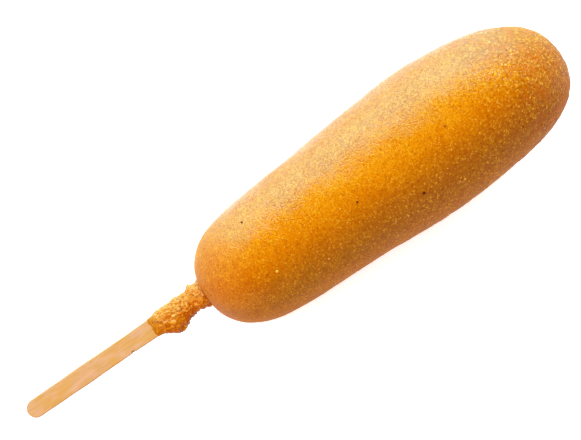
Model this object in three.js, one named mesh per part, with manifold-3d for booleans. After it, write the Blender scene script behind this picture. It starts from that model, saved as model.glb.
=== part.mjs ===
// A corn dog: a fat body of fried cornmeal batter on a flat birch stick, lying on its side.
//
// Millimetres, +Z up. The stick points along -X and the rounded tip along +X, and the origin is
// the middle of the footprint, on the table. Both pieces are made along the dog's own axis, where
// x = 0 is the neck, the batter runs to x = BODY_LENGTH, and the crust climbs the stick towards
// -x. The finished dog is then laid down: it tips until its slimmer shoulder and its fat belly
// both touch the table, on a narrow flat where its weight has pressed the batter.

import * as THREE from "three";
import { mergeVertices } from "three/addons/utils/BufferGeometryUtils.js";
import Module from "manifold-3d";

const wasm = await Module();
wasm.setup();

// ---------- driving dimensions ----------

const BODY_LENGTH = 137.2; // neck to tip
const SHOULDER_RADIUS = 20; // the slimmer half, next to the stick
const SHOULDER_X = 18.4;
const BELLY_RADIUS = 23.6; // the fatter half, where the batter ran down while it set
const BELLY_X = 83.7;
const NECK_ROUNDING = 28.2; // length over which the neck end closes
const NECK_BLUNT = 0.4; // how far short of a full dome the neck end is cut off
const TIP_ROUNDING = 48.4;
const ROUNDING_POWER = 2.44; // 2 is an ellipse, more is squarer
const TIP_DRIFT = 1.6; // the tip sits this far to the -y side of the axis
const TIP_DRIFT_LENGTH = 80;
const RESTING_X = [28, 86]; // where the shoulder and the belly touch the table
const PRESSED_FLAT = 0.45; // depth of the flat under the belly

// Hollows and swellings left by hand dipping. Each wave is a share of the radius; it runs along
// the body with a length in mm, twists round it, and has a number of lobes round the section.
const DIPPING_WAVES = [
  { share: 0.0152, length: 176.8, start: -2.52, twist: 0, lobes: 1, turned: 0 },
  { share: 0.0088, length: 54, start: 2.13, twist: 2, lobes: 1, turned: 0.96 },
  { share: 0.0091, length: 51.8, start: 3.92, twist: 0, lobes: 2, turned: -0.12 },
  { share: 0.0041, length: 26.6, start: -0.6, twist: -3, lobes: 5, turned: 0.77 },
];

const STICK_LENGTH = 140;
const STICK_WIDTH = 6.3;
const STICK_THICKNESS = 2.0;
const STICK_EDGE = 0.3; // tumbled round-over of its edges
const STICK_BARE_LENGTH = 48.2; // what shows beyond the crust
const STICK_SIDE_OFFSET = 1.5; // the stick entered off centre, towards +y
const STICK_YAW = THREE.MathUtils.degToRad(-0.95);
const FIT_GAP = 0.3; // between the stick and the batter around it

const COLLAR_LENGTH = 20.3; // crust that climbed the stick
const COLLAR_ROOT = 6; // how far the collar runs on inside the body
const COLLAR_SIDE_OFFSET = 0.15; // it is thicker on the +y side of the stick
const COLLAR_HALF_WIDTH = 4.0;
const COLLAR_HALF_HEIGHT = 3.0;
const COLLAR_POWER = 2.5; // squareness of its oval section
const COLLAR_FLARE = 0.3; // share by which it widens into the neck
const COLLAR_FLARE_LENGTH = 3.5;
const COLLAR_THINNING = 0.09; // share by which it thins out to its mouth
const COLLAR_THINNING_LENGTH = 3;
const COLLAR_WAVE = { share: 0.1, length: 4.2, start: 0.5, twist: 1, lobes: 3, turned: 0.8 };

const DRIP_LENGTH = 9.2; // the lump of batter that set on the -y side of the collar
const DRIP_WIDTH = 4.4;
const DRIP_X = -13;
const DRIP_SIDE = -4.6; // its middle, sideways of the collar's
const DRIP_SAG = -0.3;
const DRIP_ROUGHNESS = 0.16;

const CRUMB_COUNT = 62; // blisters and crumbs fried onto the collar
const CRUMB_RADIUS = 0.55; // the smallest
const CRUMB_RADIUS_RANGE = 0.7;
const CRUMB_ROUGHNESS = 0.5;
const CRUMB_STRETCH = 0.5; // the most a crumb is longer than wide
const CRUMB_SUNK = 0.35; // share of a crumb's radius pressed into the collar
const CRUMBS_FROM_X = -18.6;
const CRUMBS_TO_X = 0.5;
const RANDOM_SEED = 7;

// ---------- mesh fineness ----------

const BODY_SIDES = 60;
const BODY_RINGS = 50;
const COLLAR_SIDES = 40;
const COLLAR_RINGS = 22;
const WELD_DISTANCE = 1e-4;

// ---------- small helpers ----------

const { clamp, lerp, smoothstep } = THREE.MathUtils;

// A repeatable random number from 0 to 1 (the mulberry32 generator).
let randomState = RANDOM_SEED;
function random() {
  randomState = (randomState + 0x6d2b79f5) | 0;
  let bits = Math.imul(randomState ^ (randomState >>> 15), 1 | randomState);
  bits = (bits + Math.imul(bits ^ (bits >>> 7), 61 | bits)) ^ bits;
  return ((bits ^ (bits >>> 14)) >>> 0) / 2 ** 32;
}

function waveAt({ share, length, start, twist, lobes, turned }, x, angle) {
  const along = Math.sin((2 * Math.PI * x) / length + start + twist * angle);
  return share * along * Math.cos(lobes * angle - turned);
}

// The share of its full radius that a rounded end has, at a distance from its very end.
function rounding(distance, length) {
  const inwards = Math.max(0, 1 - distance / length);
  return (1 - inwards ** ROUNDING_POWER) ** (1 / ROUNDING_POWER);
}

// Drops what a boolean cut can't use and joins the vertices that share a place.
function weldedGeometry(geometry) {
  geometry.deleteAttribute("normal");
  geometry.deleteAttribute("uv");
  return mergeVertices(geometry, WELD_DISTANCE);
}

function solidFrom(geometry) {
  const welded = weldedGeometry(geometry);
  return new wasm.Manifold(
    new wasm.Mesh({
      numProp: 3,
      vertProperties: welded.attributes.position.array,
      triVerts: new Uint32Array(welded.index.array),
    }),
  );
}

function geometryFrom(solid) {
  const { vertProperties, triVerts } = solid.getMesh();
  const geometry = new THREE.BufferGeometry();
  geometry.setAttribute("position", new THREE.BufferAttribute(vertProperties, 3));
  geometry.setIndex(new THREE.BufferAttribute(triVerts, 1));
  geometry.computeVertexNormals();
  return geometry;
}

// A closed skin of rings round the x axis, on the faces of a sphere: place(ring, angle) gives
// each point of it. The first ring and the last are single points that close the ends.
function skin(rings, sides, place) {
  const skinned = new THREE.SphereGeometry(1, sides, rings);
  const position = skinned.attributes.position;
  for (let i = 0; i < position.count; i += 1) {
    const ring = rings - Math.floor(i / (sides + 1));
    const side = i % (sides + 1);
    const isPoint = ring === 0 || ring === rings;
    const angle = isPoint ? 0 : (2 * Math.PI * (side % sides)) / sides;
    position.setXYZ(i, ...place(ring, angle));
  }
  return skinned;
}

// ---------- batter body ----------

// The body without its unevenness: a slim shoulder that swells into the belly, round at both ends.
function bodyRadius(x) {
  const swell = smoothstep(x, SHOULDER_X, BELLY_X);
  const radius = lerp(SHOULDER_RADIUS, BELLY_RADIUS, swell);
  const neck = rounding(x + NECK_BLUNT, NECK_ROUNDING);
  const tip = rounding(BODY_LENGTH - x, TIP_ROUNDING);
  return radius * neck * tip;
}

function makeBodyGeometry() {
  return skin(BODY_RINGS, BODY_SIDES, (ring, angle) => {
    // The first step is the neck's flat face, and the rings crowd towards both ends.
    const isPoint = ring === 0 || ring === BODY_RINGS;
    const along = Math.max(0, (ring - 1) / (BODY_RINGS - 1));
    const x = (BODY_LENGTH * (1 - Math.cos(Math.PI * along))) / 2;
    const waves = DIPPING_WAVES.reduce((sum, wave) => sum + waveAt(wave, x, angle), 0);
    const radius = isPoint ? 0 : bodyRadius(x) * (1 + waves);
    const drifted = Math.max(0, 1 - (BODY_LENGTH - x) / TIP_DRIFT_LENGTH);
    const side = radius * Math.cos(angle) - TIP_DRIFT * drifted ** 2;
    return [x, side, radius * Math.sin(angle)];
  });
}

// ---------- collar of crust on the stick ----------

// The centre lines of the stick and of the collar, sideways of the body's axis.
function stickSide(x) {
  return STICK_SIDE_OFFSET + Math.tan(STICK_YAW) * x;
}

function collarSide(x) {
  return COLLAR_SIDE_OFFSET + stickSide(x);
}

// The radius of its rounded oval section in the direction of angle.
function collarOval(angle) {
  const across = Math.abs(Math.cos(angle) / COLLAR_HALF_WIDTH) ** COLLAR_POWER;
  const upright = Math.abs(Math.sin(angle) / COLLAR_HALF_HEIGHT) ** COLLAR_POWER;
  return (across + upright) ** (-1 / COLLAR_POWER);
}

// How much larger the collar is than that oval: it flares at the neck and thins at the mouth.
function collarSwell(x, angle) {
  const flare = COLLAR_FLARE * smoothstep(x, -COLLAR_FLARE_LENGTH, 0);
  const toMouth = smoothstep(-x, COLLAR_LENGTH - COLLAR_THINNING_LENGTH, COLLAR_LENGTH);
  return 1 + flare - COLLAR_THINNING * toMouth + waveAt(COLLAR_WAVE, x, angle);
}

function makeCollarGeometry() {
  return skin(COLLAR_RINGS, COLLAR_SIDES, (ring, angle) => {
    const isPoint = ring === 0 || ring === COLLAR_RINGS;
    const along = clamp((ring - 1) / (COLLAR_RINGS - 2), 0, 1);
    const x = lerp(-COLLAR_LENGTH, COLLAR_ROOT, along);
    const radius = isPoint ? 0 : collarOval(angle) * collarSwell(x, angle);
    return [x, collarSide(x) + radius * Math.cos(angle), radius * Math.sin(angle)];
  });
}

// A rough ball: an icosahedron whose corners are pushed in and out at random.
function makeCrumbGeometry(radius, detail, roughness) {
  const crumb = weldedGeometry(new THREE.IcosahedronGeometry(radius, detail));
  const position = crumb.attributes.position;
  const corner = new THREE.Vector3();
  for (let i = 0; i < position.count; i += 1) {
    corner.fromBufferAttribute(position, i);
    corner.multiplyScalar(1 + roughness * (random() - 0.5));
    position.setXYZ(i, corner.x, corner.y, corner.z);
  }
  return crumb;
}

function makeDripGeometry() {
  const drip = makeCrumbGeometry(1, 2, DRIP_ROUGHNESS);
  drip.scale(DRIP_LENGTH / 2, DRIP_WIDTH / 2, COLLAR_HALF_HEIGHT);
  return drip.translate(DRIP_X, collarSide(DRIP_X) + DRIP_SIDE, DRIP_SAG);
}

// The crumbs are spread evenly along the collar and by the golden angle round it.
function* makeCrumbs() {
  const goldenAngle = Math.PI * (3 - Math.sqrt(5));
  for (let i = 0; i < CRUMB_COUNT; i += 1) {
    const x = lerp(CRUMBS_FROM_X, CRUMBS_TO_X, i / (CRUMB_COUNT - 1));
    const angle = i * goldenAngle + random();
    const radius = CRUMB_RADIUS + CRUMB_RADIUS_RANGE * random() ** 2;
    const sunk = CRUMB_SUNK * radius;
    const side = collarSide(x) + (COLLAR_HALF_WIDTH - sunk) * Math.cos(angle);
    const up = (COLLAR_HALF_HEIGHT - sunk) * Math.sin(angle);
    const crumb = makeCrumbGeometry(radius, 0, CRUMB_ROUGHNESS);
    crumb.scale(1 + CRUMB_STRETCH * random(), 1, 1);
    crumb.rotateX(random() * Math.PI);
    crumb.rotateZ(random() * Math.PI);
    yield crumb.translate(x, side, up);
  }
}

// ---------- stick ----------

// A flat stick with half-round ends, grown all over by grow. It lies along x from 0.
function makeStickGeometry(grow) {
  const round = STICK_EDGE + grow;
  const endRadius = STICK_WIDTH / 2;
  const outline = new THREE.Shape();
  outline.absarc(endRadius, 0, endRadius - STICK_EDGE, Math.PI / 2, 1.5 * Math.PI);
  outline.absarc(STICK_LENGTH - endRadius, 0, endRadius - STICK_EDGE, -Math.PI / 2, Math.PI / 2);
  const stick = new THREE.ExtrudeGeometry(outline, {
    depth: STICK_THICKNESS - 2 * STICK_EDGE,
    bevelEnabled: true,
    bevelThickness: round,
    bevelSize: round,
    bevelSegments: 2,
    curveSegments: 12,
  });
  return stick.translate(0, 0, STICK_EDGE - STICK_THICKNESS / 2);
}

function placeStick(object) {
  const butt = -COLLAR_LENGTH - STICK_BARE_LENGTH;
  object.rotation.z = STICK_YAW;
  object.position.set(butt, stickSide(butt), 0);
  object.updateMatrix();
  return object;
}

// ---------- how the dog lies on the table ----------

// It tips until the shoulder and the belly both touch.
const lying = new THREE.Group();
const [shoulderRest, bellyRest] = RESTING_X;
const lieAngle = Math.atan2(
  bodyRadius(bellyRest) - bodyRadius(shoulderRest),
  bellyRest - shoulderRest,
);
lying.rotation.y = -lieAngle;
lying.updateMatrix();

// A slab whose top is the table's surface, in the dog's own axes.
function makeTableGeometry() {
  const size = 2 * BODY_LENGTH;
  const lowest = Math.min(
    ...RESTING_X.map((x) => x * Math.sin(lieAngle) - bodyRadius(x) * Math.cos(lieAngle)),
  );
  return new THREE.BoxGeometry(size, size, size)
    .translate(0, 0, lowest + PRESSED_FLAT - size / 2)
    .applyMatrix4(lying.matrix.clone().invert());
}

// ---------- assembly ----------

const slot = placeStick(new THREE.Object3D());
let batter = solidFrom(makeBodyGeometry())
  .add(solidFrom(makeCollarGeometry()))
  .add(solidFrom(makeDripGeometry()));
for (const crumb of makeCrumbs()) batter = batter.add(solidFrom(crumb));
batter = batter
  .subtract(solidFrom(makeStickGeometry(FIT_GAP).applyMatrix4(slot.matrix)))
  .subtract(solidFrom(makeTableGeometry()));

const friedBatter = new THREE.MeshStandardMaterial({
  name: "fried_batter",
  color: "#e08f1e",
  roughness: 0.6,
  metalness: 0,
});
const birch = new THREE.MeshStandardMaterial({
  name: "birch",
  color: "#e8b878",
  roughness: 0.75,
  metalness: 0,
});

const batterMesh = new THREE.Mesh(geometryFrom(batter), friedBatter);
batterMesh.name = "batter";
const stickMesh = placeStick(new THREE.Mesh(makeStickGeometry(0), birch));
stickMesh.name = "stick";
lying.add(batterMesh, stickMesh);

// The footprint's middle goes to the origin, and the pressed flat to z = 0.
const cornDog = new THREE.Group();
cornDog.name = "corn_dog";
cornDog.add(lying);
const extent = new THREE.Box3().setFromObject(cornDog, true);
const middle = extent.getCenter(new THREE.Vector3());
lying.position.set(-middle.x, -middle.y, -extent.min.z);

export default cornDog;
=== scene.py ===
import math
import random

import bpy
import numpy as np
from mathutils import Matrix, Vector, noise
from mathutils.bvhtree import BVHTree


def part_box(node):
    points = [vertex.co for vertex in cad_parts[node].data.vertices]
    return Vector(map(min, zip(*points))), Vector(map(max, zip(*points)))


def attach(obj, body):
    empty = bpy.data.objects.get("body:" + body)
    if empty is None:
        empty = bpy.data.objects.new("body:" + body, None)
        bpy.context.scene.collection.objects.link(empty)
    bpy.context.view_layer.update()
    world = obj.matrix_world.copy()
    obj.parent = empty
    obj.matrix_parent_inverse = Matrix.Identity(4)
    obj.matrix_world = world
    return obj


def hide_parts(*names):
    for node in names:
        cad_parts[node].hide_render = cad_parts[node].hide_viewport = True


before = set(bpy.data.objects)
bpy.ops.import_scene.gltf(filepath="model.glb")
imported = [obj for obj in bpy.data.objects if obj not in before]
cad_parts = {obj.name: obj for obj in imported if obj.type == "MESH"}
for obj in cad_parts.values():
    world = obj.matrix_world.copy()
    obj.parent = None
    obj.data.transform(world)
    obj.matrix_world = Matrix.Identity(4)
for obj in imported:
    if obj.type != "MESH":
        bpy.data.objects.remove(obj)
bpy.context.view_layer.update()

# ---------- sizes in millimetres ----------

MM = 0.001

BODY_LENGTH = 137.2  # neck to tip
SHOULDER_RADIUS, SHOULDER_X = 20.0, 18.4
BELLY_RADIUS, BELLY_X = 23.6, 83.7
NECK_ROUNDING, NECK_BLUNT = 28.2, 0.4
TIP_ROUNDING = 48.4
ROUNDING_POWER = 2.44
TIP_DRIFT, TIP_DRIFT_LENGTH = 1.6, 80.0
RESTING_X = 28.0, 86.0  # where the shoulder and the belly touch the table
# Hollows and swellings left by hand dipping: share of the radius, length along the body, start,
# twist round it, lobes round the section, and how far the lobes are turned.
DIPPING_WAVES = (
    (0.0152, 176.8, -2.52, 0, 1, 0.0),
    (0.0088, 54.0, 2.13, 2, 1, 0.96),
    (0.0091, 51.8, 3.92, 0, 2, -0.12),
    (0.0041, 26.6, -0.6, -3, 5, 0.77),
)
BODY_SIDES = 260
BODY_RINGS = 260

STICK_LENGTH, STICK_WIDTH, STICK_THICKNESS = 140.0, 6.3, 2.0
STICK_BARE_LENGTH = 48.2
STICK_SIDE_OFFSET, STICK_YAW = 1.5, math.radians(-0.95)
STICK_EDGE = 0.35  # round-over left by tumbling
STICK_END_RINGS, STICK_RING_STEP = 14, 0.4
EDGE_STEPS, FLAT_POINTS = 4, 13  # steps round each edge, points across each flat side
# How the tumbled edges waver: height, length of a wave over two pi, and start.
EDGE_WAVES = ((0.07, 4.3, 0), (0.05, 1.9, 1))
NICK_X, NICK_DEPTH, NICK_LENGTH = -29.5, 0.25, 1.0

COLLAR_LENGTH = 20.3
COLLAR_ROOT = 1.8  # how far it runs on inside the body
COLLAR_HALF_WIDTH, COLLAR_HALF_HEIGHT = 4.05, 2.35
COLLAR_POWER = 2.5
COLLAR_FILM = 0.14  # how thin the crust is a millimetre from its mouth
COLLAR_THICKENS_X = -19.7, -16.9  # where the crust thickens from that film
COLLAR_SIDES, COLLAR_RINGS = 174, 162
# Swellings of the collar: x, direction round it in radians from the +y side, height, length
# along it and spread round it.
COLLAR_SWELLINGS = (
    (-13.0, math.pi, 2.5, 2.9, 0.65),  # the drip that ran down and set
    (-9.8, math.pi, 0.8, 1.2, 0.5),
    (-3.0, 0.25, 1.2, 1.1, 0.6),
    (-9.2, 0.3, 0.45, 1.2, 0.6),
    (-1.6, 1.9, 0.8, 1.6, 0.9),
)
COLLAR_FLARE = 1.0  # how much its radius grows where it runs into the body
COLLAR_FLARE_X = -2.4, 1.2  # from where to where it does
# The crumbs fused into the crust, large and then small: how far across and how high.
CRUMB_LAYERS = ((2.4, 1.0), (1.2, 0.5))
CRUMB_SEED = 3  # without one, what bends the crumbs out of shape starts from the clock
HOLLOW_ROUNDS = 22  # how often points are averaged to find the hollows between crumbs, where shade is painted

MEAL_GRAIN = 0.5  # across the fused grains of cornmeal that the skin is made of
MEAL_CROOK = 0.9  # across the bends that push those grains out of shape
# Grains of cornmeal that stand out all over the skin.
GRIT_COUNT = 2600
GRIT_RADII = 0.09, 0.24
# Larger ones, as (x, sideways of the axis, radius).
LARGE_GRIT = (
    (22.9, -6.5, 0.5),
    (38.9, -12.8, 0.3),
    (89.3, -17.3, 0.42),
    (87.6, -17.0, 0.3),
    (91.3, -7.1, 0.34),
)
# Burnt crumbs and a browned one, given in the same way.
BURNT_CRUMBS = (
    (22.8, 12.9, 0.36),
    (56.8, -3.2, 0.4),
    (76.0, -13.3, 0.52),
    (119.5, -17.6, 0.26),
    (114.2, -14.3, 0.3),
)
TOASTED_CRUMBS = ((93.9, 0.4, 0.58),)
# How far each kind is sunk into the skin, as a share of its radius.
GRIT_SUNK, LARGE_GRIT_SUNK, BURNT_SUNK, TOASTED_SUNK = 0.2, 0.2, 0.1, 0.5
SMALL_GRAIN, LARGE_GRAIN = (3, 6), (7, 10)  # rings and sides of one grain
GRAIN_ROUGHNESS = 0.18  # how far its points stray, as a share of its radius

# What is saved on the skin for its colours and its shine. These say where it is crust, how pale
# its crumbs are and where painted shade browns them, where it thins out on the stick, and how
# deep it lies between its crumbs, for the painted shade in those hollows:
CRUST_MEASURES = "crust", "crumb_tone_and_shade", "film", "painted_crevice_shade"
# and these say where it is blistered, where it loses its shine, and where light and shade are
# painted on it.
SKIN_TONES_AND_PAINTED_LIGHT = "painted_golden_light", "painted_highlight", "painted_rim_shade", "blistered", "painted_shade_side", "dull"
OILY_ROUGHNESS, DULL_ROUGHNESS = 0.18, 0.72
FRIED_IOR = 1.33  # lower than cooking oil's 1.47, as the film of it is broken by the grain

TABLE_GLOW = 0.54  # enough to leave the dog only a faint shadow

# ---------- small helpers ----------


def linear(hex_colour):
    """An sRGB hex colour as linear red, green, blue and an alpha of 1."""
    channels = [int(hex_colour[i : i + 2], 16) / 255 for i in (1, 3, 5)]
    return (
        *(c / 12.92 if c <= 0.04045 else ((c + 0.055) / 1.055) ** 2.4 for c in channels),
        1.0,
    )


def per_mm(size):
    """The scale of a pattern whose repeat is this many millimetres."""
    return 1 / (size * MM)


def port(sockets, name):
    """The socket of that name that is in use, where a node has several."""
    return next(socket for socket in sockets if socket.name == name and socket.enabled)


def add_node(tree, kind, inputs=None, **settings):
    """Adds a node with its own settings, and its sockets' values or links."""
    node = tree.nodes.new(kind)
    for name, value in settings.items():
        setattr(node, name, value)
    for name, value in (inputs or {}).items():
        socket = node.inputs[name] if isinstance(name, int) else port(node.inputs, name)
        if isinstance(value, bpy.types.NodeSocket):
            tree.links.new(value, socket)
        else:
            socket.default_value = value
    return node


def new_material(name):
    """An empty node material and its surface output."""
    material = bpy.data.materials.new(name)
    material.use_nodes = True
    tree = material.node_tree
    tree.nodes.clear()
    return material, tree, tree.nodes.new("ShaderNodeOutputMaterial")


def smooth(low, high, value):
    """0 below low, 1 above high, and an even ease between them."""
    share = np.clip((np.asarray(value, float) - low) / (high - low), 0, 1)
    return share * share * (3 - 2 * share)


def new_object(name, points, faces, material=None):
    """A smooth-shaded object from points in metres."""
    mesh = bpy.data.meshes.new(name)
    mesh.from_pydata([tuple(p) for p in points], [], faces)
    mesh.polygons.foreach_set("use_smooth", [True] * len(mesh.polygons))
    mesh.update()
    piece = bpy.data.objects.new(name, mesh)
    bpy.context.scene.collection.objects.link(piece)
    if material:
        mesh.materials.append(material)
    return piece


def skin_faces(rings, sides):
    """Quads between rings of points, and a fan at each end to a last point of its own. They face
    outwards where a ring's points run anticlockwise, seen from beyond the last ring."""
    faces = []
    for ring in range(rings - 1):
        for side in range(sides):
            a, b = ring * sides + side, ring * sides + (side + 1) % sides
            faces.append((a, b, b + sides, a + sides))
    first, last = rings * sides, rings * sides + 1
    for side in range(sides):
        after = (side + 1) % sides
        faces.append((first, after, side))
        faces.append((last, (rings - 1) * sides + side, (rings - 1) * sides + after))
    return faces


def ring_grid(ring_x, sides):
    """The x and the angle of each point of rings at ring_x, ring after ring."""
    turns = np.arange(sides) * 2 * math.pi / sides
    return [grid.ravel() for grid in np.meshgrid(ring_x, turns, indexing="ij")]


def mesh_points(mesh):
    points = np.empty(len(mesh.vertices) * 3)
    mesh.vertices.foreach_get("co", points)
    return points.reshape(-1, 3)


def mesh_normals(mesh):
    normals = np.empty(len(mesh.vertices) * 3)
    mesh.vertex_normals.foreach_get("vector", normals)
    return normals.reshape(-1, 3)


def move_points(mesh, points):
    mesh.vertices.foreach_set("co", points.ravel())
    mesh.update()


def save_on_points(mesh, name, values):
    saved = mesh.attributes.new(name, "FLOAT", "POINT")
    saved.data.foreach_set("value", values.astype(np.float32))


def with_modifier(piece, kind, **settings):
    """Applies one modifier to the piece's mesh."""
    modifier = piece.modifiers.new(kind.lower(), kind)
    for name, value in settings.items():
        setattr(modifier, name, value)
    finished = bpy.data.meshes.new_from_object(
        piece.evaluated_get(bpy.context.evaluated_depsgraph_get())
    )
    piece.modifiers.clear()
    old, piece.data = piece.data, finished
    bpy.data.meshes.remove(old)


def bumps(points, size, seed):
    """Smooth noise from -1 to 1 at points in millimetres, whose bumps are size across."""
    shift = Vector((seed * 17.3, seed * -9.1, seed * 5.7))
    return np.array([noise.noise(Vector(p) / size + shift) for p in points])


# ---------- the dog's own axis and its place on the table ----------


def rounding(distance, length):
    """The share of the full radius at this distance from an end that is rounded over length."""
    inwards = np.clip(1 - distance / length, 0, None)
    return (1 - inwards**ROUNDING_POWER) ** (1 / ROUNDING_POWER)


def body_radius(x):
    """The body's radius before the dipping waves."""
    swell = smooth(SHOULDER_X, BELLY_X, x)
    radius = SHOULDER_RADIUS + (BELLY_RADIUS - SHOULDER_RADIUS) * swell
    neck = rounding(x + NECK_BLUNT, NECK_ROUNDING)
    return radius * neck * rounding(BODY_LENGTH - x, TIP_ROUNDING)


def body_point(x, angle):
    """Points of the body's plain skin, in the dog's own axes."""
    waves = 0
    for share, length, start, twist, lobes, turned in DIPPING_WAVES:
        along = np.sin(2 * math.pi * x / length + start + twist * angle)
        waves = waves + share * along * np.cos(lobes * angle - turned)
    radius = body_radius(x) * (1 + waves)
    drift = TIP_DRIFT * np.clip(1 - (BODY_LENGTH - x) / TIP_DRIFT_LENGTH, 0, None) ** 2
    return np.stack([x, radius * np.cos(angle) - drift, radius * np.sin(angle)], axis=-1)


def stick_side(x):
    """How far to the +y side the middle of the stick is at x."""
    return STICK_SIDE_OFFSET + math.tan(STICK_YAW) * x


def lie_angle():
    """How far the dog tips until its shoulder and its belly both touch the table."""
    shoulder, belly = RESTING_X
    return math.atan2(float(body_radius(belly) - body_radius(shoulder)), belly - shoulder)


LYING = np.array(Matrix.Rotation(-lie_angle(), 3, "Y"))


def neck_in_frame():
    """Where the neck of the lying dog is in the row frame, in millimetres."""
    plain = body_point(*ring_grid(np.linspace(0, BODY_LENGTH, 400), 180)) @ LYING.T
    low, high = (np.array(corner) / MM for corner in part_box("batter"))
    return np.array(
        [
            high[0] - plain[:, 0].max(),
            (low[1] + high[1] - plain[:, 1].min() - plain[:, 1].max()) / 2,
            high[2] - plain[:, 2].max(),
        ]
    )


NECK = neck_in_frame()


def laid_down(points):
    """From the dog's own axes in millimetres to the row frame in metres."""
    return (np.asarray(points) @ LYING.T + NECK) * MM


# The picture in pixels, with the dog's axis climbing to the right across it.
PICTURE_WIDTH, PICTURE_HEIGHT = 581, 440
MM_PER_PIXEL = 0.3212
NECK_PIXEL = 207.2, 296.4
CLIMB = math.radians(35.43)
LENS, SENSOR_WIDTH = 100.0, 36.0
# The picture's right and up in the dog's own axes.
PICTURE_SIDES = np.array(
    [
        (math.cos(CLIMB), -math.sin(CLIMB), 0),
        (math.sin(CLIMB), math.cos(CLIMB), 0),
    ]
)


def viewpoint():
    """The camera's place in the dog's own axes."""
    right, up = PICTURE_WIDTH / 2 - NECK_PIXEL[0], NECK_PIXEL[1] - PICTURE_HEIGHT / 2
    above = np.array([0, 0, PICTURE_WIDTH * LENS / SENSOR_WIDTH])
    return ((right, up) @ PICTURE_SIDES + above) * MM_PER_PIXEL


VIEWPOINT = viewpoint()

# ---------- materials ----------

NOISE, GRAINS = "ShaderNodeTexNoise", "ShaderNodeTexVoronoi"


def pattern_values(tree, patterns, crooked=0.0):
    """The values of named patterns, each given as its kind, its result and how large it is in
    millimetres, along x, y and z where that differs. Crooked is how far in millimetres they are
    pushed out of shape."""
    place = add_node(tree, "ShaderNodeTexCoord").outputs["Object"]
    if crooked:
        bends = add_node(tree, NOISE, {"Vector": place, "Scale": per_mm(MEAL_CROOK)})
        inputs = {0: bends.outputs["Color"], 1: [2 * crooked * MM] * 3, 2: place}
        pushed = add_node(tree, "ShaderNodeVectorMath", inputs, operation="MULTIPLY_ADD")
        place = pushed.outputs[0]
    values = {}
    for name, (kind, result, *size) in patterns.items():
        scale = [per_mm(length) for length in (size * 3)[:3]]
        repeated = add_node(tree, "ShaderNodeMapping", {"Vector": place, "Scale": scale})
        pattern = add_node(tree, kind, {"Vector": repeated.outputs["Vector"], "Scale": 1.0})
        values[name] = port(pattern.outputs, result)
    return values


def coloured_in_layers(tree, values, base, layers):
    """A base colour with others laid over it. Each layer follows a value, starts to show at one
    level of it and is at its strongest at another, and may show only where a second value is."""
    colour = linear(base)
    for follows, start, full, strength, only_where, over in layers:
        inputs = {
            "Value": values[follows],
            "From Min": start,
            "From Max": full,
            "To Max": strength,
        }
        amount = add_node(tree, "ShaderNodeMapRange", inputs).outputs["Result"]
        if only_where:
            inputs = {0: amount, 1: values[only_where]}
            amount = add_node(tree, "ShaderNodeMath", inputs, operation="MULTIPLY").outputs[0]
        inputs = {"Factor": amount, "A": colour, "B": linear(over)}
        mixed = add_node(tree, "ShaderNodeMix", inputs, data_type="RGBA")
        colour = port(mixed.outputs, "Result")
    return colour


def raised(tree, values, heights):
    """The normal of a surface raised by patterns: each with its height in millimetres, and where
    it shows."""
    normal = None
    for follows, height, only_where in heights:
        inputs = {"Height": values[follows], "Distance": height * MM}
        inputs["Strength"] = values[only_where] if only_where else 1.0
        if normal:
            inputs["Normal"] = normal
        normal = add_node(tree, "ShaderNodeBump", inputs).outputs["Normal"]
    return normal


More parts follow.
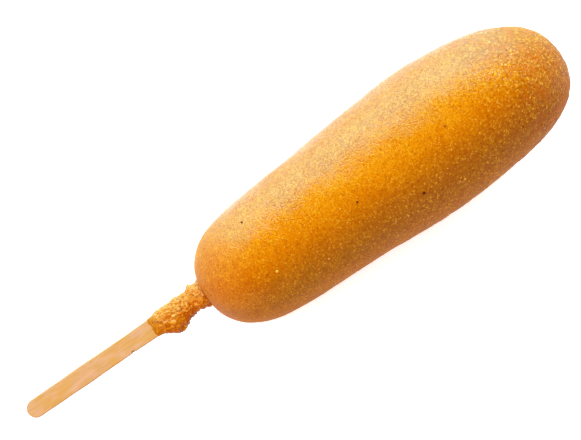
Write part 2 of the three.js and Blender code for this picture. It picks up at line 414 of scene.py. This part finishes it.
def fried_batter_material():
    """Cornmeal batter, deep fried: sandy with fused grains of meal under a thin film of oil,
    golden, paler on the tops of the grains and browner between them, with painted shade in its
    hollows and painted light and shade on its sides."""
    material, tree, output = new_material("fried cornmeal batter")
    patterns = {
        "slow patches": (NOISE, "Fac", 16),
        "toasted blotches": (NOISE, "Fac", 2.6),
        "browned patches": (NOISE, "Fac", 4.5),
        "grain tops": (GRAINS, "Distance", MEAL_GRAIN),
        "grain tint": (GRAINS, "Color", MEAL_GRAIN),
        "fine grain": (NOISE, "Fac", 0.45),
        "pebbles": (NOISE, "Fac", 1.1),
        "scales": (GRAINS, "Distance", 1.0),
    }
    values = pattern_values(tree, patterns, crooked=0.3)
    for name in CRUST_MEASURES + SKIN_TONES_AND_PAINTED_LIGHT:
        values[name] = add_node(tree, "ShaderNodeAttribute", attribute_name=name).outputs["Fac"]
    layers = (
        # the tones of the body, and the light and shade painted on its sides
        ("slow patches", 0.4, 0.62, 0.7, None, "#E28304"),
        ("toasted blotches", 0.5, 0.34, 0.22, None, "#CB5F01"),
        ("painted_golden_light", 0.0, 1.0, 0.3, None, "#F09008"),
        ("painted_highlight", 0.0, 1.0, 0.4, None, "#C08A40"),
        ("painted_rim_shade", 0.0, 1.0, 0.7, None, "#CE6203"),
        ("painted_shade_side", 0.0, 1.0, 0.6, None, "#A06C02"),
        # the collar's crust, from pale to brown crumbs, browner where shade is painted on its -y
        # side
        ("crust", 0.0, 1.0, 0.8, None, "#F08A1C"),
        ("crumb_tone_and_shade", 0.45, 1.0, 0.8, "crust", "#F8AC50"),
        ("crumb_tone_and_shade", 0.45, 0.0, 0.9, "crust", "#C05A06"),
        ("film", 0.0, 1.0, 0.8, None, "#CC7A12"),
        # grains of meal all over
        ("grain tint", 0.36, 0.1, 0.4, None, "#C05601"),
        ("grain tops", 0.45, 0.85, 0.6, None, "#A84401"),
        ("fine grain", 0.46, 0.3, 0.2, None, "#A84401"),
        ("grain tint", 0.64, 0.9, 0.5, None, "#F0A41C"),
        # stronger grain where the skin is blistered; a painted, broken-up highlight on the lit
        # side, and painted glints and shade among the grains of the shaded side
        ("fine grain", 0.48, 0.36, 0.6, "painted_highlight", "#B45408"),
        ("pebbles", 0.46, 0.32, 0.6, "painted_highlight", "#B4560A"),
        ("pebbles", 0.54, 0.68, 0.3, "painted_highlight", "#EFA84A"),
        ("fine grain", 0.52, 0.68, 0.35, "painted_highlight", "#EFA84A"),
        ("grain tint", 0.82, 0.94, 0.6, "painted_shade_side", "#ECA63C"),
        ("grain tint", 0.3, 0.1, 0.55, "painted_shade_side", "#904A02"),
        ("grain tint", 0.72, 0.92, 0.6, "blistered", "#F8B434"),
        ("grain tint", 0.34, 0.1, 0.5, "blistered", "#A44A02"),
        ("scales", 0.45, 0.85, 0.5, "blistered", "#9A4402"),
        ("browned patches", 0.46, 0.38, 0.5, "blistered", "#D06404"),
        ("browned patches", 0.5, 0.36, 0.25, "painted_shade_side", "#8A4E02"),
        # painted shade in the hollows between the collar's crumbs
        ("painted_crevice_shade", 0.05, 0.3, 0.8, "crust", "#944004"),
    )
    heights = (
        ("grain tops", -0.13, None),
        ("fine grain", 0.1, None),
        ("pebbles", 0.25, "blistered"),
        ("scales", -0.16, "blistered"),
    )
    shine = {"Value": values["dull"], "To Min": OILY_ROUGHNESS, "To Max": DULL_ROUGHNESS}
    inputs = {
        "Base Color": coloured_in_layers(tree, values, "#D97201", layers),
        "Roughness": add_node(tree, "ShaderNodeMapRange", shine).outputs["Result"],
        "IOR": FRIED_IOR,
        "Normal": raised(tree, values, heights),
    }
    surface = add_node(tree, "ShaderNodeBsdfPrincipled", inputs)
    tree.links.new(surface.outputs["BSDF"], output.inputs["Surface"])
    return material


def birch_material():
    """Birch veneer, die cut and tumbled, unvarnished: pale and matt, with fine straight fibres
    and faint clouds where it took up oil, and painted shade in the nick at its edge."""
    material, tree, output = new_material("tumbled birch")
    patterns = {
        "fibres": (NOISE, "Fac", 9, 0.5, 0.5),
        "clouds": (NOISE, "Fac", 5, 2.2, 2.2),
        "oil": (NOISE, "Fac", 7.5, 3, 3),
    }
    values = pattern_values(tree, patterns)
    values["nick"] = add_node(tree, "ShaderNodeAttribute", attribute_name="nick").outputs["Fac"]
    layers = (
        ("clouds", 0.42, 0.6, 0.9, None, "#E09E72"),
        ("oil", 0.45, 0.62, 0.8, None, "#DA9446"),
        ("fibres", 0.5, 0.3, 0.3, None, "#C08040"),
        ("fibres", 0.55, 0.75, 0.25, None, "#E4A976"),
        # painted shade in the nick
        ("nick", 0.1, 0.8, 0.8, None, "#6E4420"),
    )
    inputs = {
        "Base Color": coloured_in_layers(tree, values, "#D8985D", layers),
        "Roughness": 0.75,
        "IOR": 1.45,
        "Normal": raised(tree, values, (("fibres", 0.03, None),)),
    }
    surface = add_node(tree, "ShaderNodeBsdfPrincipled", inputs)
    tree.links.new(surface.outputs["BSDF"], output.inputs["Surface"])
    return material


def crumb_material(name, dark, light, roughness):
    """A grain or crumb of one kind, clouded from a darker to a lighter colour."""
    material, tree, output = new_material(name)
    values = pattern_values(tree, {"clouds": (NOISE, "Fac", 0.4)})
    layers = (("clouds", 0.3, 0.7, 1.0, None, light),)
    inputs = {
        "Base Color": coloured_in_layers(tree, values, dark, layers),
        "Roughness": roughness,
        "IOR": FRIED_IOR,
    }
    surface = add_node(tree, "ShaderNodeBsdfPrincipled", inputs)
    tree.links.new(surface.outputs["BSDF"], output.inputs["Surface"])
    return material


# ---------- batter ----------


def blistered(points):
    """Where the skin blistered: all over the tip, which fried longest, and less so on the
    -y side of the belly."""
    x, side = points[:, 0], -points[:, 1] / BELLY_RADIUS
    return np.maximum(smooth(96, 122, x), 0.6 * smooth(30, 90, x) * smooth(0.0, 0.6, side))


def at_ends(x):
    """1 at the neck's end and at the tip, 0 between them."""
    return 1 - smooth(6, 24, x) + smooth(116, 131, x)


def sideways(points):
    """How far towards the +y side of the body points are: 1 at its outline, -1 at the other."""
    return points[:, 1] / np.maximum(body_radius(points[:, 0]), 1)


def painted_highlight(points):
    """Where a creamier tint is painted on the skin as highlight, with an uneven edge: on the +y
    side, where the window's light falls."""
    side = points[:, 1] / BELLY_RADIUS + 0.22 * bumps(points, 9, 11)
    side += 0.12 * bumps(points, 3.5, 12)
    return smooth(0.2, 0.65, side) * (1 - at_ends(points[:, 0]))


def painted_golden_light(points):
    """Where a brighter golden tone is painted on the skin as light: a band along it next to the
    painted highlight, and the edge of the -y side as a painted rim light."""
    side = sideways(points) + 0.12 * bumps(points, 9, 11)
    band = smooth(-0.15, 0.2, side) * (1 - smooth(0.4, 0.65, side)) * (1 - at_ends(points[:, 0]))
    return np.maximum(band, smooth(0.78, 0.97, -side))


def painted_rim_shade(points):
    """Where a redder tone is painted as shade along the +y outline, which faces the window."""
    return smooth(0.65, 0.92, sideways(points)) * (1 - at_ends(points[:, 0]))


def painted_shade_side(points):
    """Where shade is painted on the -y side, away from the window, less at its outline and ends.
    """
    outline = smooth(0.72, 0.95, -sideways(points))
    side = smooth(0.0, 0.6, -points[:, 1] / BELLY_RADIUS)
    return side * (1 - 0.7 * outline) * (1 - 0.45 * at_ends(points[:, 0]))


def dull(points):
    """Where the skin lost its shine: where the oil drained off it, and at both ends."""
    return np.maximum(smooth(0.0, 0.6, -points[:, 1] / BELLY_RADIUS), 0.8 * at_ends(points[:, 0]))


def body_relief(points):
    """How far the fried skin is sunk below the plain body, in millimetres."""
    x = points[:, 0]
    settled = 0.16 * bumps(points, 11, 1) + 0.1 * bumps(points, 5, 2)
    blisters = blistered(points)
    pebbles = (0.05 + 0.1 * blisters) * bumps(points, 2.6, 3)
    grains = (0.035 + 0.035 * blisters) * bumps(points, 1.3, 4)
    return settled + pebbles + grains


def make_body():
    """The dipped body in its own axes, in millimetres, with evenly spaced rings along its skin."""
    x_fine = BODY_LENGTH * (1 - np.cos(np.linspace(0, math.pi, 4000))) / 2
    profile = body_radius(x_fine)
    run = np.concatenate([[0], np.cumsum(np.hypot(np.diff(x_fine), np.diff(profile)))])
    steps = np.linspace(0, run[-1], BODY_RINGS + 1)[:-1]
    points = body_point(*ring_grid(np.interp(steps, run, x_fine), BODY_SIDES))
    ends = [(0, 0, 0), (BODY_LENGTH, -TIP_DRIFT, 0)]
    faces = skin_faces(BODY_RINGS, BODY_SIDES)
    body = new_object("batter_body", np.vstack([points, ends]), faces)
    points, normals = mesh_points(body.data), mesh_normals(body.data)
    move_points(body.data, points - normals * body_relief(points)[:, None])
    for name in ("crust", "crumb_tone_and_shade", "film"):
        save_on_points(body.data, name, np.zeros(len(points)))
    for measure in (painted_golden_light, painted_highlight, painted_rim_shade, blistered, painted_shade_side, dull):
        save_on_points(body.data, measure.__name__, measure(points))
    return body


def oval(angle, half_width, half_height, power):
    """The radius of an oval, which gets squarer as the power rises from 2."""
    across = np.abs(np.cos(angle) / half_width) ** power
    upright = np.abs(np.sin(angle) / half_height) ** power
    return (across + upright) ** (-1 / power)


def film_oval(x, angle):
    """The radius of the thin film round the stick that the crust thins out to."""
    film = COLLAR_FILM * (2 * smooth(-0.6, 0.6, x + COLLAR_LENGTH) - 1)
    return oval(angle, STICK_WIDTH / 2 + 0.1 + film, STICK_THICKNESS / 2 + film, 6)


def swollen_oval(x, angle):
    """The collar's radius with its flare and its swellings, before its crumbs."""
    radius = oval(angle, COLLAR_HALF_WIDTH, COLLAR_HALF_HEIGHT, COLLAR_POWER)
    radius += COLLAR_FLARE * smooth(*COLLAR_FLARE_X, x)
    for at, direction, height, length, spread in COLLAR_SWELLINGS:
        round_it = np.angle(np.exp(1j * (angle - direction)))
        radius += height * np.exp(-(((x - at) / length) ** 2) - (round_it / spread) ** 2)
    return radius


def round_stick(x, angle, radius):
    """Points at a radius from the middle of the stick."""
    across, upright = radius * np.cos(angle), radius * np.sin(angle)
    return np.stack([x, stick_side(x) + across, upright], axis=-1)


def fused_crumbs(points, size, seed):
    """How high the crust stands on rounded crumbs of this size, from 0 in the cracks between
    them to 1, and a number from 0 to 1 of each crumb's own."""
    shift = Vector((seed * 13.1, seed * 7.7, seed * -3.9))
    height, own = np.empty(len(points)), np.empty(len(points))
    for i, p in enumerate(points):
        at = Vector(p) / size + shift
        at += 0.3 * noise.noise_vector(at * 1.7)
        distances, centres = noise.voronoi(at)
        dome = max(0, 1 - (distances[0] / 0.85) ** 2)
        crack = min(1, (distances[1] - distances[0]) / 0.3)
        height[i] = math.sqrt(dome) * (0.35 + 0.65 * crack)
        own[i] = 0.5 + 0.5 * noise.cell(centres[0] * 7.3)
    return height, own


def make_collar():
    """The crust that climbed the stick: a thin coat of fused crumbs with a few swellings."""
    # It starts inside the wood, so that it thins out to nothing at its mouth.
    ring_x = np.linspace(-COLLAR_LENGTH - 0.6, COLLAR_ROOT, COLLAR_RINGS)
    x, angle = ring_grid(ring_x, COLLAR_SIDES)
    radius = swollen_oval(x, angle)
    plain = round_stick(x, angle, radius)
    # It is smoother where the batter ran thick, on the +y side, and painted paler there, where the
    # window's light falls.
    thick_and_lit = smooth(0.2, 0.95, np.cos(angle - 0.5)) * smooth(-19, -16, x)
    # Painted shade makes it browner on the -y side, away from the light, with a painted shadow
    # darkest between the drip and the neck.
    painted_crumb_shade = 0.22 + 0.3 * np.exp(-(((x + 7.5) / 2.6) ** 2))
    crumb_tone_and_shade = 0.3 + 0.02 * thick_and_lit
    noise.seed_set(CRUMB_SEED)
    for seed, (size, height) in enumerate(CRUMB_LAYERS, 3):
        standing, own = fused_crumbs(plain, size, seed)
        radius += (1 - 0.5 * thick_and_lit) * height * ((0.5 + 0.5 * own) * standing - 0.45)
        crumb_tone_and_shade += 0.4 * own - painted_crumb_shade * smooth(0.1, 0.8, -np.cos(angle))
    radius += 0.06 * bumps(plain, 0.6, 8)
    thickening = smooth(*COLLAR_THICKENS_X, x + 0.5 * bumps(plain, 2.2, 9))
    film = film_oval(x, angle)
    radius = film + (radius - film) * thickening
    # Its edge on the stick is uneven.
    x = x + 0.3 * bumps(plain, 2.5, 10) * (1 - smooth(-20, -17, x))
    ends = [(x.min(), stick_side(-COLLAR_LENGTH), 0), (COLLAR_ROOT, stick_side(COLLAR_ROOT), 0)]
    points = np.vstack([round_stick(x, angle, radius), ends])
    collar = new_object("collar", points, skin_faces(COLLAR_RINGS, COLLAR_SIDES))
    none = np.zeros_like(x)
    measured = dict.fromkeys(SKIN_TONES_AND_PAINTED_LIGHT, none)
    measured |= {"crust": none + 1, "crumb_tone_and_shade": crumb_tone_and_shade, "film": 1 - thickening}
    # a painted highlight on the +y side, and blistered grain all over
    measured |= {"painted_highlight": 0.7 * thick_and_lit, "blistered": none + 0.3}
    for name, values in measured.items():
        save_on_points(collar.data, name, np.append(values, [0, 0]))
    return collar


def neighbour_mean(mesh, values, rounds):
    """Values at the points, averaged with their neighbours' this many times."""
    edges = np.empty(len(mesh.edges) * 2, dtype=np.int64)
    mesh.edges.foreach_get("vertices", edges)
    a, b = edges.reshape(-1, 2).T
    count = np.bincount(np.concatenate([a, b]), minlength=len(values))[:, None]
    for _ in range(rounds):
        total = np.zeros_like(values)
        np.add.at(total, a, values[b])
        np.add.at(total, b, values[a])
        values = total / np.maximum(count, 1)
    return values


def make_batter(material):
    """The body and its collar as one skin, pressed flat where it rests."""
    batter, collar = make_body(), make_collar()
    with_modifier(batter, "BOOLEAN", operation="UNION", object=collar, solver="MANIFOLD")
    bpy.data.objects.remove(collar)
    mesh = batter.data
    mesh.name = "batter"
    batter.name = "batter_skin"
    mesh.polygons.foreach_set("use_smooth", [True] * len(mesh.polygons))
    points, normals = mesh_points(mesh), mesh_normals(mesh)
    # how deep each point lies below its neighbours, for the painted shade in the hollows
    deep = ((neighbour_mean(mesh, points, HOLLOW_ROUNDS) - points) * normals).sum(axis=1)
    save_on_points(mesh, "painted_crevice_shade", deep)
    placed = laid_down(points)
    placed[:, 2] = np.maximum(placed[:, 2], 0)
    move_points(mesh, placed)
    mesh.materials.clear()
    mesh.materials.append(material)
    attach(batter, "root")
    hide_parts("batter")
    return batter


# ---------- grains on the batter ----------


def rough_ball(radius, rings, sides, draw):
    """The points and faces of a rough ball, as jittered rings between two poles."""
    turn = Vector((draw.gauss(0, 1), draw.gauss(0, 1), draw.gauss(0, 1))).to_track_quat("Z", "Y")
    stretch = draw.uniform(0.75, 1.3)
    points = []
    for ring in range(1, rings + 1):
        polar = math.pi * ring / (rings + 1)
        for side in range(sides):
            around = 2 * math.pi * (side + 0.5 * ring) / sides
            away = radius * (1 + GRAIN_ROUGHNESS * draw.uniform(-1, 1))
            across = math.sin(polar) * away
            at = Vector((across * math.cos(around) * stretch, across * math.sin(around), 0))
            points.append(turn @ (at - Vector((0, 0, math.cos(polar) * away))))
    points += [turn @ Vector((0, 0, pole * radius)) for pole in (-1, 1)]
    return points, skin_faces(rings, sides)


def surface_in_view(tree, x, side):
    """Where the dog shows a place beside its axis from straight above, and the normal there."""
    viewpoint, place = (Vector(p) for p in laid_down([VIEWPOINT, (x, side, 0)]))
    return tree.ray_cast(viewpoint, (place - viewpoint).normalized())[:2]


def surface_outward(tree, x, angle):
    """The batter's surface and its normal, seen from the axis in the direction of angle."""
    reach = 2.5 * BELLY_RADIUS
    away = (x, reach * math.cos(angle), reach * math.sin(angle))
    far, axis = (Vector(p) for p in laid_down([away, (x, 0, 0)]))
    return tree.ray_cast(far, (axis - far).normalized())[:2]


def stuck_grains(name, places, draw, detail, sunk, material):
    """One piece of many grains, each sunk into the batter by a share of its radius."""
    points, faces = [], []
    for (place, normal), radius in places:
        grain, grain_faces = rough_ball(radius, *detail, draw)
        middle = place - normal * sunk * radius * MM
        # None hangs below the table.
        if middle.z < 1.2 * radius * MM:
            continue
        start = len(points)
        points.extend(middle + at * MM for at in grain)
        faces.extend(tuple(start + i for i in face) for face in grain_faces)
    piece = new_object(name, points, faces, material)
    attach(piece, "root")


def make_grit(tree, material):
    """Grains all over the body, fewer where it is thinner, and then the larger ones."""
    draw = random.Random(23)
    places = []
    for _ in range(GRIT_COUNT):
        x = BODY_LENGTH * draw.random()
        angle = draw.uniform(0, 2 * math.pi)
        radius = GRIT_RADII[0] + (GRIT_RADII[1] - GRIT_RADII[0]) * draw.random() ** 2
        if draw.random() < float(body_radius(x)) / BELLY_RADIUS:
            places.append((surface_outward(tree, x, angle), radius))
    stuck_grains("cornmeal_grit", places, draw, SMALL_GRAIN, GRIT_SUNK, material)
    places = [(surface_in_view(tree, x, side), radius) for x, side, radius in LARGE_GRIT]
    stuck_grains("cornmeal_grains", places, draw, LARGE_GRAIN, LARGE_GRIT_SUNK, material)


def make_crumbs(name, tree, crumbs, sunk, material):
    """One piece of crumbs, each where it shows beside the dog's axis from above."""
    places = [(surface_in_view(tree, x, side), radius) for x, side, radius in crumbs]
    stuck_grains(name, places, random.Random(3), LARGE_GRAIN, sunk, material)


# ---------- stick ----------


def stick_section():
    """The stick's section as a loop of (across, up, edge across, edge up). The first two are
    where its flat sides end, across as a share of half the width, and the last two lead out from
    there to its rounded edge."""
    section = []
    flat_half, flat_up = 1 - STICK_EDGE / (STICK_WIDTH / 2), STICK_THICKNESS / 2 - STICK_EDGE
    for corner, (across, up) in enumerate(((1, 1), (-1, 1), (-1, -1), (1, -1))):
        for step in range(EDGE_STEPS + 1):
            turn = math.pi / 2 * (corner + step / EDGE_STEPS)
            edge = math.cos(turn), math.sin(turn)
            section.append((across * flat_half, up * flat_up, *edge))
        if corner in (0, 2):
            for share in np.linspace(0, 1, FLAT_POINTS + 2)[1:-1]:
                section.append((across * flat_half * (1 - 2 * share), up * flat_up, 0, up))
    return section


def edge_wave(x):
    """How far the tumbled edges of the stick waver at x."""
    return sum(height * math.sin(x / length + start) for height, length, start in EDGE_WAVES)


def make_stick(material):
    """The flat stick from its butt to its end in the batter, with its nick."""
    butt = -COLLAR_LENGTH - STICK_BARE_LENGTH
    half, end = STICK_WIDTH / 2, STICK_LENGTH
    lean_x, lean_side = math.cos(STICK_YAW), math.sin(STICK_YAW)
    # Rings crowd at the round ends, where the width closes.
    turned = half * (1 - np.cos(np.linspace(0.12, math.pi / 2, STICK_END_RINGS)))
    straight = np.arange(half + STICK_RING_STEP, end - half, STICK_RING_STEP)
    along = np.concatenate([turned, straight, end - turned[::-1]])
    section = stick_section()
    points, painted_nick_shade = [], []
    for x in along:
        close = math.sqrt(max(half**2 - max(half - min(x, end - x), 0) ** 2, 0)) / half
        own_x = butt + x * lean_x
        wave = edge_wave(own_x)
        nick = NICK_DEPTH * math.exp(-(((own_x - NICK_X) / (NICK_LENGTH / 2)) ** 2))
        for across, up, edge_across, edge_up in section:
            side = (across * half + STICK_EDGE * edge_across) * close
            if side < -0.5 * half:
                side += nick * close - 0.6 * wave
            elif side > 0.5 * half:
                side += 0.8 * wave
            # the nick's painted shade, on the -y edge
            painted_nick_shade.append(nick / NICK_DEPTH * smooth(-0.6, -0.85, side / half))
            place_x = own_x - side * lean_side
            place_side = stick_side(butt) + x * lean_side + side * lean_x
            points.append((place_x, place_side, up + STICK_EDGE * edge_up))
    for x in (0, end):
        points.append((butt + x * lean_x, stick_side(butt) + x * lean_side, 0))
    faces = skin_faces(len(along), len(section))
    stick = new_object("birch_stick", laid_down(points), faces, material)
    save_on_points(stick.data, "nick", np.array(painted_nick_shade + [0, 0]))
    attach(stick, "root")
    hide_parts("stick")


# ---------- studio ----------


def make_table_top():
    """A wide light table of opal acrylic: white, matt and glowing from below."""
    material, tree, output = new_material("white table")
    inputs = {
        "Base Color": linear("#F7F7F6"),
        "Roughness": 0.9,
        "Emission Color": linear("#FFFAF8"),
        "Emission Strength": TABLE_GLOW,
    }
    surface = add_node(tree, "ShaderNodeBsdfPrincipled", inputs)
    tree.links.new(surface.outputs["BSDF"], output.inputs["Surface"])
    # It lies just under the dog, so that the two don't touch in one plane.
    reach, level = 3.0, -0.05 * MM
    corners = [(x * reach, y * reach, level) for x, y in ((-1, -1), (1, -1), (1, 1), (-1, 1))]
    table = new_object("table_top", corners, [(0, 1, 2, 3)], material)


def add_softbox(name, side_angle, turn, distance, size, watts, colour, glossy=True):
    """A wide light aimed at the dog from side_angle off straight above, turned round the dog
    from +x towards +y. Its size is its height and its width."""
    light = bpy.data.lights.new(name, "AREA")
    light.shape, light.size, light.size_y = "RECTANGLE", size[0], size[1]
    light.energy = watts
    light.color = colour
    softbox = bpy.data.objects.new(name, light)
    tilt, turn = math.radians(side_angle), math.radians(turn)
    level = math.sin(tilt)
    away = Vector((level * math.cos(turn), level * math.sin(turn), math.cos(tilt)))
    middle_of_body = Vector((0.03, 0, 0.022))
    softbox.location = middle_of_body + away * distance
    softbox.rotation_euler = away.to_track_quat("Z", "X").to_euler()
    # Without a shine it must also not be found by a bounce off the oily skin.
    softbox.visible_glossy = light.cycles.use_multiple_importance_sampling = glossy
    bpy.context.scene.collection.objects.link(softbox)


def light_studio():
    """A wide cool window low on the +y side, a small warm light towards each end, and a wide one
    overhead. Only the window makes a shine."""
    cool, warm = (0.27, 1.0, 1.4), (1.3, 1.0, 0.7)
    add_softbox("window", 73, 72, 0.9, (0.52, 1.6), 19.4, cool)
    add_softbox("tip light", 75, 20, 0.9, (0.4, 0.5), 1.4, warm, glossy=False)
    add_softbox("neck light", 50, 155, 0.9, (0.4, 0.5), 1.9, warm, glossy=False)
    add_softbox("overhead", 5, 90, 0.9, (0.9, 0.9), 9.4, (1.0, 1.0, 1.0), glossy=False)
    world = bpy.data.worlds.new("studio")
    bpy.context.scene.world = world
    world.use_nodes = True
    world.node_tree.nodes["Background"].inputs["Strength"].default_value = 0.0


def set_camera():
    """Looks straight down on the dog's axis, with the dog running up to the right."""
    camera = bpy.data.cameras.new("camera")
    camera.lens, camera.sensor_width = LENS, SENSOR_WIDTH
    viewer = bpy.data.objects.new("camera", camera)
    bpy.context.scene.collection.objects.link(viewer)
    bpy.context.scene.camera = viewer
    turned = LYING @ np.stack([*PICTURE_SIDES, (0.0, 0.0, 1.0)], axis=1)
    spot = Vector(laid_down([VIEWPOINT])[0])
    viewer.matrix_world = Matrix.Translation(spot) @ Matrix(turned.tolist()).to_4x4()
    bpy.context.scene.view_settings.view_transform = "Standard"


# ---------- the whole dog ----------

batter = make_batter(fried_batter_material())
surface = BVHTree.FromObject(batter, bpy.context.evaluated_depsgraph_get())
make_grit(surface, crumb_material("toasted cornmeal", "#EE9C1E", "#F9BC52", 0.5))
burnt = crumb_material("burnt crumb", "#400C00", "#702604", 0.9)
toasted = crumb_material("toasted crumb", "#A24A02", "#BE6206", 0.9)
make_crumbs("burnt_crumbs", surface, BURNT_CRUMBS, BURNT_SUNK, burnt)
make_crumbs("toasted_crumbs", surface, TOASTED_CRUMBS, TOASTED_SUNK, toasted)
make_stick(birch_material())
make_table_top()
light_studio()
set_camera()
